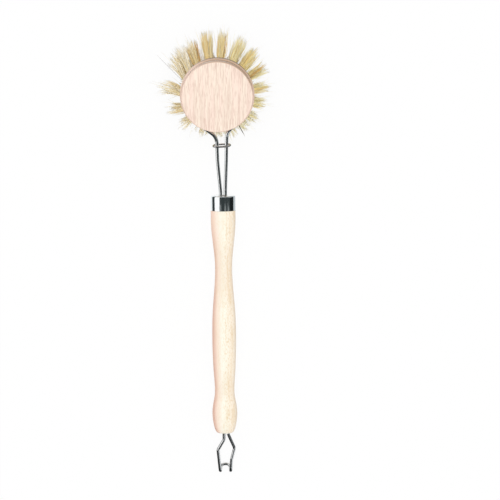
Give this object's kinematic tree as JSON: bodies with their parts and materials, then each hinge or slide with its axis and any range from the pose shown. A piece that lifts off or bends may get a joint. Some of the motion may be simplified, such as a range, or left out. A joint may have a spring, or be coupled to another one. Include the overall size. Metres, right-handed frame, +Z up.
{
  "type": "dish brush",
  "caption": "Turned wooden dish brush: a sprung wire clip grips a round, replaceable head of plant-fibre tufts, a sliding ring locks the clip, and a wire hook hangs it up.",
  "frame": {"origin": "on the table under the middle of the brush's box, with the brush lying on its fibres and its hook", "axes": "+Y along the brush from the hook to the head, +Z up from the table, +X to the right as seen from above with the head at the far end"},
  "size_m": [0.0592, 0.2398, 0.0407],
  "materials": {
    "beech_handle": "bare, sanded",
    "beech_block": "bare, sanded",
    "plated_cap": "bright plated",
    "plated_wire": "bright plated",
    "staple_steel": "plain drawn",
    "plant_fibre": "dry plant fibre"
  },
  "bodies": {
    "grip": {"handle": "beech_handle", "ferrule": "plated_cap", "wire_clip": "plated_wire", "hanging_hook": "plated_wire"},
    "lock": {"lock_ring": "plated_wire"},
    "head": {"head_block": "beech_block", "tuft_staples": "staple_steel", "tuft_centre": "plant_fibre", "tuft_inner_01": "plant_fibre", "tuft_inner_02": "plant_fibre", "tuft_inner_03": "plant_fibre", "tuft_inner_04": "plant_fibre", "tuft_inner_05": "plant_fibre", "tuft_inner_06": "plant_fibre", "tuft_middle_01": "plant_fibre", "tuft_middle_02": "plant_fibre", "tuft_middle_03": "plant_fibre", "tuft_middle_04": "plant_fibre", "tuft_middle_05": "plant_fibre", "tuft_middle_06": "plant_fibre", "tuft_middle_07": "plant_fibre", "tuft_middle_08": "plant_fibre", "tuft_middle_09": "plant_fibre", "tuft_middle_10": "plant_fibre", "tuft_middle_11": "plant_fibre", "tuft_middle_12": "plant_fibre", "tuft_outer_01": "plant_fibre", "tuft_outer_02": "plant_fibre", "tuft_outer_03": "plant_fibre", "tuft_outer_04": "plant_fibre", "tuft_outer_05": "plant_fibre", "tuft_outer_06": "plant_fibre", "tuft_outer_07": "plant_fibre", "tuft_outer_08": "plant_fibre", "tuft_outer_09": "plant_fibre", "tuft_outer_10": "plant_fibre", "tuft_outer_11": "plant_fibre", "tuft_outer_12": "plant_fibre", "tuft_outer_13": "plant_fibre", "tuft_outer_14": "plant_fibre", "tuft_outer_15": "plant_fibre", "tuft_outer_16": "plant_fibre", "tuft_outer_17": "plant_fibre", "tuft_outer_18": "plant_fibre"}
  },
  "joints": [
    {"name": "lock_ring_slide", "type": "slide", "parent": "grip", "child": "lock", "axis": [0, 0.974, 0.2267], "range_m": [-0.0245, 0.003]},
    {"name": "head_turn", "type": "hinge", "parent": "grip", "child": "head", "pos_m": [0, 0.08534, 0.03299], "axis": [0, -0.2267, 0.974], "continuous": true}
  ]
}
